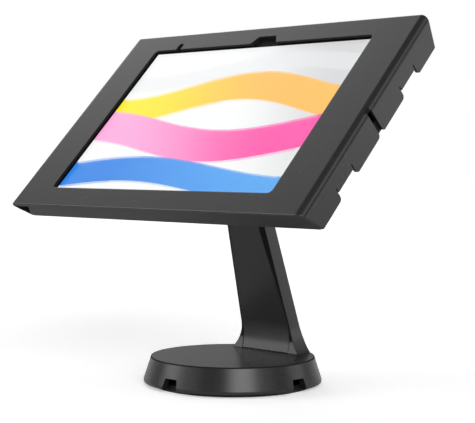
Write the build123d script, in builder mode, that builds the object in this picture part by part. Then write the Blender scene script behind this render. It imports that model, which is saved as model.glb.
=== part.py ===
from build123d import *
import os
from math import cos, radians, sin, sqrt, tan

os.makedirs("parts", exist_ok=True)

# A counter-top kiosk: a weighted round base, a leaning neck, a tilting and turning head,
# and a locked sheet-metal enclosure round a tablet. All lengths are in millimetres.
# The origin is on the counter under the middle of the round base. +Z is up, the user
# stands towards -Y, and +X is to the user's right.

# Clearances and overruns
moving_gap = 0.3  # between pieces that move past each other
running_gap = 0.05  # radial, a shaft in its bore
face_gap = 0.05  # between faces that slide flat on each other
fitted_gap = 0.15  # round pieces that are fitted and don't move
thread_gap = 0.05  # radial, a screw's shank in its tapped hole
overrun = 2.0  # how far a cut reaches past the material

# Turns, in degrees
half_turn = 180.0
quarter_turn = 90.0

# Round base
base_top_radius = 63.1
rim_radius = 68.7
base_height = 21.9
rim_height = 2.5  # lower edge of the cover above the counter
rim_lip = 2.3  # upright band below the sloping flank
rim_round = 0.5
base_top_wall = 3.0
base_flank_wall = 3.8  # measured level
plate_radius = 62.2
plate_thickness = 4.0
plate_gap = 0.4  # round the plate in its pocket
pad_thickness = 1.5
pad_inset = 0.6
pad_hole_margin = 1.75  # the pad's holes are wider than the plate's by this, radially
counter_hole_radius = 3.25
counter_hole_circle = 40.0
boss_radius = 4.5
boss_circle = 50.0
base_screw_radius = 1.6
base_screw_length = 12.0
base_screw_head_radius = 3.6
base_screw_head_height = 2.0
boss_hole_spare = 2.0  # the boss's hole is deeper than the screw by this
boss_start_angle = 45.0

# Lead notches in the base's rim, one at each quarter
notch_top = 10.8
notch_top_half = 5.9
notch_bottom_half = 8.35  # at the counter
notch_round = 1.0
notch_depth = 12.0

# Neck, seen from the side
axis_back = 1.5  # tilt axis behind the middle of the base
axis_height = 176.4
neck_front_gap = 8.8  # tilt axis to the neck's front, level
neck_rear_gap = 8.5  # tilt axis to the neck's rear, level
front_lean = 18.5
rear_lean = 16.4
front_bend_height = 46.0
front_bend_radius = 40.0
rear_bend_height = 38.0
rear_bend_radius = 40.0
ear_radius = 9.2

# Neck, seen from the front
neck_half_at_axis = 15.6
neck_half_at_flare = 25.5
flare_height = 42.0
foot_half = 34.4
edge_chamfer_start = 47.0  # height where the front edges' chamfers start
edge_chamfer_growth = 0.04  # chamfer gained for each millimetre of height
lip_width = 0.8
cover_recess = 0.2
cover_thickness = 2.4
channel_ledge = 3.0
neck_rear_wall = 3.0
fork_depth = 18.4  # fork's bottom below the tilt axis
fork_bottom = axis_height - fork_depth
fork_half_gap = 11.2
cover_top_land = 2.0  # between the cover's recess and the fork
cover_top = fork_bottom - cover_top_land

# Screws that hold the neck's cover, driven from behind
cover_screw_low = 62.0
cover_screw_drop = 28.0  # upper screw below the cover's top
cover_screw_high = cover_top - cover_screw_drop
cover_screw_heights = (cover_screw_low, cover_screw_high)
cover_screw_radius = 1.5
cover_screw_head_radius = 2.8
cover_screw_head_height = 1.6
cover_screw_socket_depth = 0.8
cover_screw_bite = 5.0
cover_boss_radius = 3.5
screw_hole_margin = 0.2  # radial, a screw through a clearance hole

# Tilt joint
tilt_bolt_radius = 4.0
tilt_head_radius = 6.5
tilt_head_height = 4.4
tilt_head_round = 1.1
tilt_socket_radius = 2.9
tilt_socket_depth = 2.6
tilt_nut_radius = 7.4
tilt_nut_height = 6.5
tilt_bolt_tail = 1.5
tilt_washer_radius = 8.0
tilt_washer_thickness = 1.6
friction_washer_radius = 8.5
friction_washer_thickness = 1.0
knuckle_radius = 8.3
rest_elevation = 44.55  # the screen's normal above the horizon
head_reach = 44.0  # tilt axis to the front face of the enclosure

# Tablet
tablet_width = 248.6
tablet_height = 179.5
tablet_thickness = 7.0
tablet_corner = 18.0
shell_wall = 3.0
shell_floor = 1.0
shell_lip = 0.9
glass_thickness = 0.8
glass_sink = 0.2  # the shell's rim stands this far behind the glass's face
display_side_border = 10.75
display_end_border = 10.9
display_width = tablet_width - 2 * display_side_border
display_height = tablet_height - 2 * display_end_border
display_thickness = 1.8
board_width = 12.0
board_thickness = 1.4
board_inset = 16.3  # board's middle from the tablet's edge
board_end_room = 29.75
board_offset = tablet_width / 2 - board_inset
board_height = tablet_height - 2 * board_end_room
battery_thickness = 3.1
battery_board_gap = 7.0
battery_cell_gap = 6.0
battery_end_room = 30.75
battery_width = board_offset - board_width / 2 - battery_board_gap - battery_cell_gap / 2
battery_height = tablet_height - 2 * battery_end_room
battery_spacing = battery_width + battery_cell_gap
camera_radius = 2.6
camera_length = 3.0
camera_rise = 4.75  # camera's middle above the display
camera_up = display_height / 2 + camera_rise
button_height = 2.4  # across the tablet's edge
button_depth = 2.4
button_proud = 0.7
button_travel = 0.4
power_button_length = 10.0
power_button_drop = 23.75  # below the tablet's upper edge
power_button_up = tablet_height / 2 - power_button_drop
volume_button_length = 9.0
volume_button_inset = 25.3  # middle of the pair from the tablet's side edge
volume_button_offset = tablet_width / 2 - volume_button_inset
volume_button_spacing = 12.0

# Front frame of the enclosure, folded from sheet
frame_side_room = 27.2  # from the tablet's side edges to the frame's outside
frame_end_room = 8.85
frame_width = tablet_width + 2 * frame_side_room
frame_height = tablet_height + 2 * frame_end_room
frame_depth = 23.5
sheet = 2.0
flange_taper = 22.2
side_bend = 5.5
edge_bend = 1.2
window_margin = 0.5  # from the display's edges to the window's
window_width = display_width + 2 * window_margin
window_height = display_height + 2 * window_margin
window_corner = 4.0
wall_notch_low = 37.3  # nearer end of a wall notch from the notches' middle
wall_notch_high = 60.8
wall_notch_drop = 0.8  # the notches' middle below the frame's
wall_notch_floor = 17.8  # below the front face
relief_width = 1.0
relief_depth = 3.6
slot_width = 5.0
slot_start = 3.2
tab_round = 3.0
wall_end_round = 2.0
camera_notch_offset = 6.6
camera_notch_height = 7.7
camera_notch_top_half = 8.8
camera_notch_bottom_half = 13.2
camera_notch_round = 1.5
sensor_notch_inset = 26.45  # from the window's left edge
sensor_notch_offset = sensor_notch_inset - window_width / 2
sensor_notch_width = 5.4
sensor_notch_height = 7.0
seam_width = 0.3  # between a flange's end and the side wall
seam_start = 5.5  # below the front face
corner_gap_length = 17.5  # open corner at the lower left, along the flange
corner_gap_start = 4.0
corner_gap_end = 20.5

# Front gasket
gasket_thickness = 1.0
gasket_window_margin = 1.0
gasket_edge_inset = 0.3
gasket_notch_margin = 0.3

# Brackets that hold the tablet in the frame
bracket_width = 16.0
bracket_foot_length = 14.0
bracket_gauge = 1.5
bracket_arm = 8.0
bracket_clear = 2.0  # from the tablet's edge to the bracket's riser
bracket_inset = 34.75  # bracket's middle from the tablet's end
bracket_up = tablet_height / 2 - bracket_inset
bracket_face_gap = 0.1
stud_radius = 1.5
stud_length = 6.0
stud_nut_radius = 3.1
stud_nut_height = 2.4

# Rear tray
tray_pad_height = 5.2
tray_gauge = 2.0
tray_edge_gap = 0.35
tray_flange_depth = 4.8
tray_corner = 3.0
tray_middle_radius = 22.0
tray_lead_hole_width = 24.0
tray_lead_hole_height = 16.0
tray_lead_hole_down = 58.0
tray_pad_depth = 30.0
tray_pad_edge = 18.3  # pad's outer end from the tablet's side edge
tray_pad_screw_gap = 4.5  # pad's inner end from the heads of the screws
tray_pad_up = 52.0

# Catches on the frame's side walls
catch_width = 20.0
catch_gauge = 1.5
catch_reach = 9.7
catch_tail = 1.0  # the catch's leg ends this far inside the wall's rear edge

# Cam locks, one at each side of the tray
lock_inset = 20.5  # from the frame's outside
lock_offset = frame_width / 2 - lock_inset
lock_collar_radius = 8.0
lock_collar_height = 5.5
lock_body_radius = 6.0
lock_plug_radius = 4.0
lock_plug_recess = 0.2
lock_nut_radius = 8.0
lock_nut_height = 2.0
key_slot_length = 5.4
key_slot_width = 1.4
key_slot_depth = 4.0
cam_gauge = 1.5
cam_width = 9.0
cam_length = 15.0
cam_lift = 0.4  # cam above the catch's lip
cam_screw_radius = 1.5
cam_screw_head_radius = 3.0
cam_screw_head_height = 1.6
cam_screw_socket_depth = 0.8
cam_screw_length = 5.0

# Turning joint between the tray and the tilting head
turn_plate_size = 92.0
turn_plate_corner = 8.0
turn_plate_thickness = 4.0
turn_screw_spacing = 75.0
turn_screw_radius = 2.0
turn_screw_head_radius = 4.0
turn_screw_head_height = 2.4
turn_screw_bite = 3.6
turn_screw_socket_radius = 1.5
turn_screw_socket_depth = 1.3
hub_radius = 32.0
hub_thickness = 4.5
hub_web_half = 9.0
hub_web_round = 3.0
stud_hub_radius = 7.0
turn_ring_outer = 22.0
turn_ring_inner = 12.0
turn_ring_thickness = 0.5
turn_washer_radius = 12.0
turn_washer_thickness = 1.0
turn_nut_radius = 12.4
turn_nut_height = 3.5
turn_nut_tail = 0.3
stop_circle = 26.5
stop_pin_radius = 1.5
stop_pin_sink = 2.5
stop_pin_tip_gap = 0.6
stop_sweep = 180.0  # degrees that the pin's slot lets the tray turn

# Positions that follow from the sizes above
lip_height = rim_height + rim_lip
flank_slope = (rim_radius - base_top_radius) / (base_height - lip_height)
plate_bottom = pad_thickness
plate_top = plate_bottom + plate_thickness
cavity_top = base_height - base_top_wall
pocket_radius = plate_radius + plate_gap
pocket_top = plate_top + plate_gap
cavity_top_radius = rim_radius - flank_slope * (cavity_top - lip_height) - base_flank_wall
neck_taper = (neck_half_at_flare - neck_half_at_axis) / (axis_height - flare_height)
rebate_depth = cover_recess + cover_thickness + fitted_gap

normal = Vector(0, -cos(radians(rest_elevation)), sin(radians(rest_elevation)))
upward = Vector(0, sin(radians(rest_elevation)), cos(radians(rest_elevation)))
tilt_axis = Vector(0, axis_back, axis_height)
face_centre = tilt_axis + normal * head_reach
# Local x runs across the screen, y up the screen and z out of it
panel = Plane(origin=face_centre, x_dir=(1, 0, 0), z_dir=normal)
# Local x runs up the screen, y out of it and z across it
panel_side = Plane(origin=face_centre, x_dir=upward, z_dir=(1, 0, 0))
# Local x runs across the screen, y out of it and z down it
panel_cross = Plane(origin=face_centre, x_dir=(1, 0, 0), z_dir=-upward)

glass_face = sheet + gasket_thickness
tablet_back = glass_face + tablet_thickness
tray_front = tablet_back + tray_pad_height
tray_rear = tray_front + tray_gauge
turn_plate_rear = tray_rear + turn_plate_thickness
hub_front = turn_plate_rear + face_gap + turn_ring_thickness
hub_rear = hub_front + hub_thickness
taper_slope = tan(radians(flange_taper))
taper_run = frame_depth * taper_slope
flange_level_wall = sheet / cos(radians(flange_taper))
rear_opening_half = frame_height / 2 - taper_run - flange_level_wall
tray_half_height = rear_opening_half - tray_edge_gap
tray_half_width = frame_width / 2 - sheet - moving_gap
tray_pad_outer = tablet_width / 2 - tray_pad_edge
tray_pad_inner = turn_screw_spacing / 2 + turn_screw_head_radius + tray_pad_screw_gap
tray_pad_width = tray_pad_outer - tray_pad_inner
tray_pad_offset = (tray_pad_outer + tray_pad_inner) / 2
lip_rear = tray_front - moving_gap
lip_front = lip_rear - catch_gauge
cam_rear = lip_front - cam_lift
cam_front = cam_rear - cam_gauge
stud_across = tablet_width / 2 + bracket_clear + bracket_gauge + bracket_foot_length / 2


def spot(plane, across=0, up=0, out=0):
    """The plane moved to a point given in its own directions."""
    origin = plane.from_local_coords(Vector(across, up, out))
    return Plane(origin=origin, x_dir=plane.x_dir, z_dir=plane.z_dir)


def post(plane, radius, height, mode=Mode.ADD):
    """A round post, or hole, from a plane."""
    with BuildSketch(plane) as outline:
        Circle(radius)
    extrude(outline.sketch, amount=height, mode=mode)


def ring(plane, outer, inner, height):
    """A flat ring from a plane."""
    with BuildSketch(plane) as outline:
        Circle(outer)
        Circle(inner, mode=Mode.SUBTRACT)
    extrude(outline.sketch, amount=height)


def slab(plane, length, width, height, mode=Mode.ADD):
    """A rectangular block, or cut, from a plane."""
    with BuildSketch(plane) as outline:
        Rectangle(length, width)
    extrude(outline.sketch, amount=height, mode=mode)


def nut(plane, corner_radius, bore, height):
    """A hexagon nut from a plane."""
    with BuildSketch(plane) as outline:
        RegularPolygon(corner_radius, 6)
        Circle(bore, mode=Mode.SUBTRACT)
    extrude(outline.sketch, amount=height)


def arc_slot(radius, half_width, middle, sweep):
    """A round-ended slot along an arc, its middle at an angle from local x."""
    low = middle - sweep / 2
    high = middle + sweep / 2
    low_end = (radius * cos(radians(low)), radius * sin(radians(low)))
    high_end = (radius * cos(radians(high)), radius * sin(radians(high)))
    with BuildSketch() as outline:
        with BuildLine():
            CenterArc((0, 0), radius + half_width, low, sweep)
            CenterArc(high_end, half_width, high, half_turn)
            CenterArc((0, 0), radius - half_width, low, sweep)
            CenterArc(low_end, half_width, low + half_turn, half_turn)
        make_face()
    return outline.sketch


def neck_front(height):
    """Front of the straight part of the neck, at a height."""
    return axis_back - neck_front_gap + (axis_height - height) * tan(radians(front_lean))


def neck_rear(height):
    """Rear of the straight part of the neck, at a height."""
    return axis_back + neck_rear_gap + (axis_height - height) * tan(radians(rear_lean))


def neck_half(height):
    """Half the width of the straight part of the neck, at a height."""
    return neck_half_at_axis + (axis_height - height) * neck_taper


def cover_half(height):
    """Half the width of the rebate for the neck's cover, at a height."""
    chamfer_here = max(height - edge_chamfer_start, 0) * edge_chamfer_growth
    return neck_half(max(height, edge_chamfer_start)) - lip_width - chamfer_here


def front_curve(shift, bottom, top):
    """Front line of the neck and its bend at the foot, moved back by shift."""
    centre_back = neck_front(front_bend_height) - front_bend_radius * cos(radians(front_lean))
    centre_height = front_bend_height - front_bend_radius * sin(radians(front_lean))
    drop = centre_height - bottom
    foot_back = centre_back + sqrt(front_bend_radius**2 - drop**2)
    bend_start = (neck_front(front_bend_height) + shift, front_bend_height)
    straight = Line((neck_front(top) + shift, top), bend_start)
    foot = TangentArc(bend_start, (foot_back + shift, bottom), tangent=straight % 1)
    return straight @ 0, foot @ 1


def rear_curve(shift, bottom, top):
    """Rear line of the neck and its bend to upright, moved forward by shift."""
    bend_run = rear_bend_radius * (1 - cos(radians(rear_lean)))
    bend_drop = rear_bend_radius * sin(radians(rear_lean))
    bend_start = (neck_rear(rear_bend_height) - shift, rear_bend_height)
    bend_end = (neck_rear(rear_bend_height) + bend_run - shift, rear_bend_height - bend_drop)
    straight = Line((neck_rear(top) - shift, top), bend_start)
    TangentArc(bend_start, bend_end, tangent=straight % 1)
    upright = Line(bend_end, (bend_end[0], bottom))
    return straight @ 0, upright @ 1


def neck_slice(front_shift, rear_shift, bottom, top):
    """Side view of the neck between its front and rear, both drawn inwards."""
    with BuildSketch() as outline:
        with BuildLine():
            front_top, front_foot = front_curve(front_shift, bottom, top)
            rear_top, rear_foot = rear_curve(rear_shift, bottom, top)
            Line(front_top, rear_top)
            Line(front_foot, rear_foot)
        make_face()
    return outline.sketch


def front_band(near, far, bottom, top):
    """Side view of a skin that follows the neck's front."""
    with BuildSketch() as outline:
        with BuildLine():
            near_top, near_foot = front_curve(near, bottom, top)
            far_top, far_foot = front_curve(far, bottom, top)
            Line(near_top, far_top)
            Line(near_foot, far_foot)
        make_face()
    return outline.sketch


def rebate_front(inset, bottom, top):
    """Front view of the rebate, its sides drawn inwards."""
    low = cover_half(edge_chamfer_start) - inset
    high = cover_half(top) - inset
    corners = [(-low, bottom), (-low, edge_chamfer_start), (-high, top)]
    mirrored = [(-across, height) for across, height in reversed(corners)]
    with BuildSketch() as outline:
        Polygon(*corners, *mirrored, align=None)
    return outline.sketch


def boss_seat(height):
    """Where a boss of the neck's cover ends, just in front of the rear wall."""
    boss_lean = cover_boss_radius * tan(radians(rear_lean))
    return neck_rear(height) - neck_rear_wall - boss_lean - fitted_gap


# Neck without its hollows
with BuildPart() as neck_blank:
    with BuildSketch(Plane.YZ):
        add(neck_slice(0, 0, cavity_top, axis_height))
    extrude(amount=foot_half, both=True)
    with BuildSketch(Plane.XZ):
        with BuildLine():
            right_edge = Line((neck_half_at_axis, axis_height), (neck_half_at_flare, flare_height))
            right_flare = TangentArc(right_edge @ 1, (foot_half, base_height), tangent=right_edge % 1)
            right_foot = Line(right_flare @ 1, (foot_half, cavity_top))
            left_edge = Line((-neck_half_at_axis, axis_height), (-neck_half_at_flare, flare_height))
            left_flare = TangentArc(left_edge @ 1, (-foot_half, base_height), tangent=left_edge % 1)
            left_foot = Line(left_flare @ 1, (-foot_half, cavity_top))
            Line(right_foot @ 1, left_foot @ 1)
            Line(left_edge @ 0, right_edge @ 0)
        make_face()
    extrude(amount=2 * base_top_radius, both=True, mode=Mode.INTERSECT)
    post(Plane(origin=tilt_axis, x_dir=(0, 1, 0), z_dir=(1, 0, 0)), ear_radius, neck_half_at_axis)
    post(Plane(origin=tilt_axis, x_dir=(0, 1, 0), z_dir=(-1, 0, 0)), ear_radius, neck_half_at_axis)

# Wedges that chamfer the neck's front edges, wider towards the top
with BuildPart() as edge_wedges:
    for side in (-1, 1):
        for height in (edge_chamfer_start, axis_height + ear_radius):
            size = (height - edge_chamfer_start) * edge_chamfer_growth
            corner_across = neck_half(height)
            corner_back = neck_front(height)
            with BuildSketch(Plane.XY.offset(height)):
                Polygon(
                    (side * (corner_across - size - overrun), corner_back - overrun),
                    (side * (corner_across + overrun), corner_back + size + overrun),
                    (side * (corner_across + overrun), corner_back - overrun),
                    align=None,
                )
        loft()

# Hollow that the lead runs up, behind the cover
with BuildPart() as lead_channel:
    with BuildSketch(Plane.YZ):
        add(neck_slice(rebate_depth, neck_rear_wall, cavity_top - overrun, fork_bottom + overrun))
    extrude(amount=foot_half, both=True)
    with BuildSketch(Plane.XZ):
        add(rebate_front(channel_ledge, cavity_top - overrun, fork_bottom + overrun))
    extrude(amount=2 * base_top_radius, both=True, mode=Mode.INTERSECT)

# Rebate that the cover lies in
with BuildPart() as cover_rebate:
    with BuildSketch(Plane.YZ):
        add(front_band(-overrun, rebate_depth, base_height, cover_top))
    extrude(amount=foot_half, both=True)
    with BuildSketch(Plane.XZ):
        add(rebate_front(0, base_height, cover_top))
    extrude(amount=2 * base_top_radius, both=True, mode=Mode.INTERSECT)

# Base cover and neck, one casting
with BuildPart() as stand_body:
    with BuildSketch(Plane.XZ):
        with BuildLine():
            Polyline(
                (0, cavity_top),
                (cavity_top_radius, cavity_top),
                (pocket_radius, pocket_top),
                (pocket_radius, rim_height),
                (rim_radius, rim_height),
                (rim_radius, lip_height),
                (base_top_radius, base_height),
                (0, base_height),
                close=True,
            )
        make_face()
        fillet(vertices().group_by(Axis.X)[-1].sort_by(Axis.Y)[0], rim_round)
    revolve(axis=Axis.Z)
    add(neck_blank.part)
    add(edge_wedges.part, mode=Mode.SUBTRACT)
    add(cover_rebate.part, mode=Mode.SUBTRACT)
    add(lead_channel.part, mode=Mode.SUBTRACT)
    # Gap of the fork, the bolt's holes and flat seats for its washers
    fork_height = axis_height + ear_radius + overrun - fork_bottom
    fork_length = 2 * (neck_front_gap + neck_rear_gap + ear_radius)
    slab(Plane.XY.offset(fork_bottom), 2 * fork_half_gap, fork_length, fork_height, mode=Mode.SUBTRACT)
    for side in (-1, 1):
        outward = Plane(origin=tilt_axis, x_dir=(0, 1, 0), z_dir=(side, 0, 0))
        post(outward, tilt_bolt_radius + screw_hole_margin, neck_half_at_axis, mode=Mode.SUBTRACT)
        seat_radius = tilt_washer_radius + fitted_gap
        post(outward.offset(neck_half_at_axis), seat_radius, overrun, mode=Mode.SUBTRACT)
    # Notches that let a lead out under the rim
    for quarter in range(4):
        turn = radians(quarter_turn * quarter)
        outward = Vector(sin(turn), -cos(turn), 0)
        sideways = Vector(cos(turn), sin(turn), 0)
        face = Plane(origin=outward * (rim_radius + overrun), x_dir=sideways, z_dir=outward)
        with BuildSketch(face):
            Polygon(
                (-notch_bottom_half, 0),
                (-notch_top_half, notch_top),
                (notch_top_half, notch_top),
                (notch_bottom_half, 0),
                align=None,
            )
            fillet(vertices().group_by(Axis.Y)[-1], notch_round)
        extrude(amount=-notch_depth, mode=Mode.SUBTRACT)
    # Bosses for the base's screws
    with BuildSketch(Plane.XY.offset(plate_top)):
        with PolarLocations(boss_circle, 4, start_angle=boss_start_angle):
            Circle(boss_radius)
    extrude(amount=cavity_top - plate_top)
    boss_hole_depth = base_screw_length - plate_thickness + boss_hole_spare
    with BuildSketch(Plane.XY.offset(plate_top)):
        with PolarLocations(boss_circle, 4, start_angle=boss_start_angle):
            Circle(base_screw_radius + thread_gap)
    extrude(amount=boss_hole_depth, mode=Mode.SUBTRACT)
    # Holes for the cover's screws, through the neck's rear wall
    for height in cover_screw_heights:
        seat_back = neck_rear(height) - cover_screw_head_height
        into = Plane(origin=(0, seat_back, height), x_dir=(1, 0, 0), z_dir=(0, 1, 0))
        post(into, cover_screw_head_radius + screw_hole_margin, 2 * neck_rear_wall, mode=Mode.SUBTRACT)
        post(into, cover_screw_radius + screw_hole_margin, -neck_rear_wall, mode=Mode.SUBTRACT)
stand_body.part.label = "stand_body"
export_step(stand_body.part, "parts/stand_body.step")

# Cover let into the neck's front, with bosses for its screws
cover_foot = base_height + fitted_gap
cover_head = cover_top - fitted_gap
with BuildPart() as neck_cover:
    with BuildSketch(Plane.YZ):
        add(front_band(cover_recess, cover_recess + cover_thickness, cover_foot, cover_head))
    extrude(amount=foot_half, both=True)
    with BuildSketch(Plane.XZ):
        add(rebate_front(fitted_gap, cover_foot, cover_head))
    extrude(amount=2 * base_top_radius, both=True, mode=Mode.INTERSECT)
    for height in cover_screw_heights:
        wall_front = boss_seat(height)
        skin_middle = neck_front(height) + cover_recess + cover_thickness / 2
        towards_cover = Plane(origin=(0, wall_front, height), x_dir=(1, 0, 0), z_dir=(0, -1, 0))
        post(towards_cover, cover_boss_radius, wall_front - skin_middle)
        post(towards_cover, cover_screw_radius + thread_gap, cover_screw_bite, mode=Mode.SUBTRACT)
neck_cover.part.label = "neck_cover"
export_step(neck_cover.part, "parts/neck_cover.step")

with BuildPart() as neck_cover_screws:
    for height in cover_screw_heights:
        seat_back = neck_rear(height) - cover_screw_head_height
        outward = Plane(origin=(0, seat_back, height), x_dir=(1, 0, 0), z_dir=(0, 1, 0))
        wall_front = boss_seat(height)
        post(outward, cover_screw_head_radius, cover_screw_head_height)
        post(outward, cover_screw_radius, wall_front - cover_screw_bite + thread_gap - seat_back)
        socket = spot(outward, out=cover_screw_head_height)
        with BuildSketch(socket):
            RegularPolygon(cover_screw_radius, 6)
        extrude(amount=-cover_screw_socket_depth, mode=Mode.SUBTRACT)
neck_cover_screws.part.label = "neck_cover_screws"
export_step(neck_cover_screws.part, "parts/neck_cover_screws.step")

# Steel plate that weights the base
with BuildPart() as base_plate:
    with BuildSketch(Plane.XY.offset(plate_bottom)):
        Circle(plate_radius)
        with PolarLocations(counter_hole_circle, 4):
            Circle(counter_hole_radius, mode=Mode.SUBTRACT)
    extrude(amount=plate_thickness)
    hole_radius = base_screw_radius + screw_hole_margin
    cone_radius = base_screw_head_radius + screw_hole_margin
    with Locations(Plane.XY.offset(plate_bottom) * Location((0, 0, 0), (half_turn, 0, 0))):
        with PolarLocations(boss_circle, 4, start_angle=boss_start_angle):
            CounterSinkHole(hole_radius, cone_radius, plate_thickness, counter_sink_angle=quarter_turn)
base_plate.part.label = "base_plate"
export_step(base_plate.part, "parts/base_plate.step")

with BuildPart() as base_pad:
    with BuildSketch():
        Circle(plate_radius - pad_inset)
        with PolarLocations(counter_hole_circle, 4):
            Circle(counter_hole_radius + pad_hole_margin, mode=Mode.SUBTRACT)
    extrude(amount=pad_thickness)
base_pad.part.label = "base_pad"
export_step(base_pad.part, "parts/base_pad.step")

with BuildPart() as base_screws:
    for quarter in range(4):
        turn = radians(quarter_turn * quarter + boss_start_angle)
        foot = spot(Plane.XY, boss_circle * cos(turn), boss_circle * sin(turn), plate_bottom)
        post(foot, base_screw_radius, base_screw_length)
        with BuildSketch(foot):
            Circle(base_screw_head_radius)
        with BuildSketch(foot.offset(base_screw_head_height)):
            Circle(base_screw_radius)
        loft()
base_screws.part.label = "base_screws"
export_step(base_screws.part, "parts/base_screws.step")

# Tilt joint: a bolt across the fork, washers outside the ears and friction washers inside
tilt_left = Plane(origin=tilt_axis, x_dir=(0, 1, 0), z_dir=(-1, 0, 0))
tilt_right = Plane(origin=tilt_axis, x_dir=(0, 1, 0), z_dir=(1, 0, 0))
seat_half = neck_half_at_axis + tilt_washer_thickness
with BuildPart() as tilt_bolt:
    shank = 2 * seat_half + tilt_nut_height + tilt_bolt_tail
    post(tilt_left.offset(seat_half), tilt_bolt_radius, -shank)
    post(tilt_left.offset(seat_half), tilt_head_radius, tilt_head_height)
    fillet(edges().filter_by(GeomType.CIRCLE).sort_by(Axis.X)[0], tilt_head_round)
    with BuildSketch(tilt_left.offset(seat_half + tilt_head_height)):
        RegularPolygon(tilt_socket_radius, 6)
    extrude(amount=-tilt_socket_depth, mode=Mode.SUBTRACT)
tilt_bolt.part.label = "tilt_bolt"
export_step(tilt_bolt.part, "parts/tilt_bolt.step")

with BuildPart() as tilt_nut:
    nut(tilt_right.offset(seat_half), tilt_nut_radius, tilt_bolt_radius + thread_gap, tilt_nut_height)
tilt_nut.part.label = "tilt_nut"
export_step(tilt_nut.part, "parts/tilt_nut.step")

with BuildPart() as tilt_washers:
    for outward in (tilt_left, tilt_right):
        washer_bore = tilt_bolt_radius + fitted_gap
        ring(outward.offset(neck_half_at_axis), tilt_washer_radius, washer_bore, tilt_washer_thickness)
tilt_washers.part.label = "tilt_washers"
export_step(tilt_washers.part, "parts/tilt_washers.step")

friction_inner_half = fork_half_gap - friction_washer_thickness
with BuildPart() as friction_washers:
    for outward in (tilt_left, tilt_right):
        washer_seat = outward.offset(friction_inner_half)
        washer_bore = tilt_bolt_radius + fitted_gap
        ring(washer_seat, friction_washer_radius, washer_bore, friction_washer_thickness)
friction_washers.part.label = "friction_washers"
export_step(friction_washers.part, "parts/friction_washers.step")

# Tilting bracket: knuckle, web, hub plate and the threaded stud that the tray turns on
knuckle_half = friction_inner_half - face_gap
stud_front = tray_rear - face_gap - turn_washer_thickness - turn_nut_height - turn_nut_tail
with BuildPart() as tilt_bracket:
    post(spot(panel, out=-hub_rear), hub_radius, hub_thickness)
    slab(spot(panel, out=-head_reach), 2 * knuckle_half, 2 * hub_web_half, head_reach - hub_rear)
    inner_edges = [
        edge
        for edge in edges().filter_by(GeomType.LINE)
        if abs((edge.center() - face_centre).dot(normal) + hub_rear) < running_gap
    ]
    fillet(inner_edges, hub_web_round)
    post(tilt_left, knuckle_radius, knuckle_half)
    post(tilt_right, knuckle_radius, knuckle_half)
    with BuildSketch(tilt_left.offset(-knuckle_half - overrun)):
        Circle(tilt_bolt_radius + running_gap)
    extrude(amount=2 * knuckle_half + 2 * overrun, mode=Mode.SUBTRACT)
    post(spot(panel, out=-hub_front), stud_hub_radius, hub_front - stud_front)
    stop_place = spot(panel, up=-stop_circle, out=-hub_front)
    post(stop_place, stop_pin_radius + thread_gap, -stop_pin_sink, mode=Mode.SUBTRACT)
tilt_bracket.part.label = "tilt_bracket"
export_step(tilt_bracket.part, "parts/tilt_bracket.step")

with BuildPart() as turn_friction_ring:
    ring(spot(panel, out=-hub_front), turn_ring_outer, turn_ring_inner, turn_ring_thickness)
turn_friction_ring.part.label = "turn_friction_ring"
export_step(turn_friction_ring.part, "parts/turn_friction_ring.step")

with BuildPart() as turn_stop_pin:
    pin_length = stop_pin_sink + hub_front - tray_rear - stop_pin_tip_gap
    post(spot(panel, up=-stop_circle, out=-hub_front - stop_pin_sink), stop_pin_radius, pin_length)
turn_stop_pin.part.label = "turn_stop_pin"
export_step(turn_stop_pin.part, "parts/turn_stop_pin.step")

with BuildPart() as turn_washer:
    washer_bore = stud_hub_radius + fitted_gap
    ring(spot(panel, out=-tray_rear + face_gap), turn_washer_radius, washer_bore, turn_washer_thickness)
turn_washer.part.label = "turn_washer"
export_step(turn_washer.part, "parts/turn_washer.step")

with BuildPart() as turn_nut:
    nut_seat = spot(panel, out=-tray_rear + face_gap + turn_washer_thickness)
    nut(nut_seat, turn_nut_radius, stud_hub_radius + thread_gap, turn_nut_height)
turn_nut.part.label = "turn_nut"
export_step(turn_nut.part, "parts/turn_nut.step")

# Plate that turns on the stud and carries the tray
with BuildPart() as turn_plate:
    with BuildSketch(spot(panel, out=-turn_plate_rear)):
        RectangleRounded(turn_plate_size, turn_plate_size, turn_plate_corner)
        Circle(stud_hub_radius + running_gap, mode=Mode.SUBTRACT)
        with GridLocations(turn_screw_spacing, turn_screw_spacing, 2, 2):
            Circle(turn_screw_radius + thread_gap, mode=Mode.SUBTRACT)
        stop_slot_half = stop_pin_radius + moving_gap
        add(arc_slot(stop_circle, stop_slot_half, -quarter_turn, stop_sweep), mode=Mode.SUBTRACT)
    extrude(amount=turn_plate_thickness)
turn_plate.part.label = "turn_plate"
export_step(turn_plate.part, "parts/turn_plate.step")

with BuildPart() as turn_screws:
    half = turn_screw_spacing / 2
    for across, up in ((-half, -half), (half, -half), (-half, half), (half, half)):
        seat = spot(panel, across, up, -tray_front)
        post(seat, turn_screw_head_radius, turn_screw_head_height)
        post(seat, turn_screw_radius, -tray_gauge - turn_screw_bite)
        with BuildSketch(seat.offset(turn_screw_head_height)):
            RegularPolygon(turn_screw_socket_radius, 6)
        extrude(amount=-turn_screw_socket_depth, mode=Mode.SUBTRACT)
turn_screws.part.label = "turn_screws"
export_step(turn_screws.part, "parts/turn_screws.step")

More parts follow.
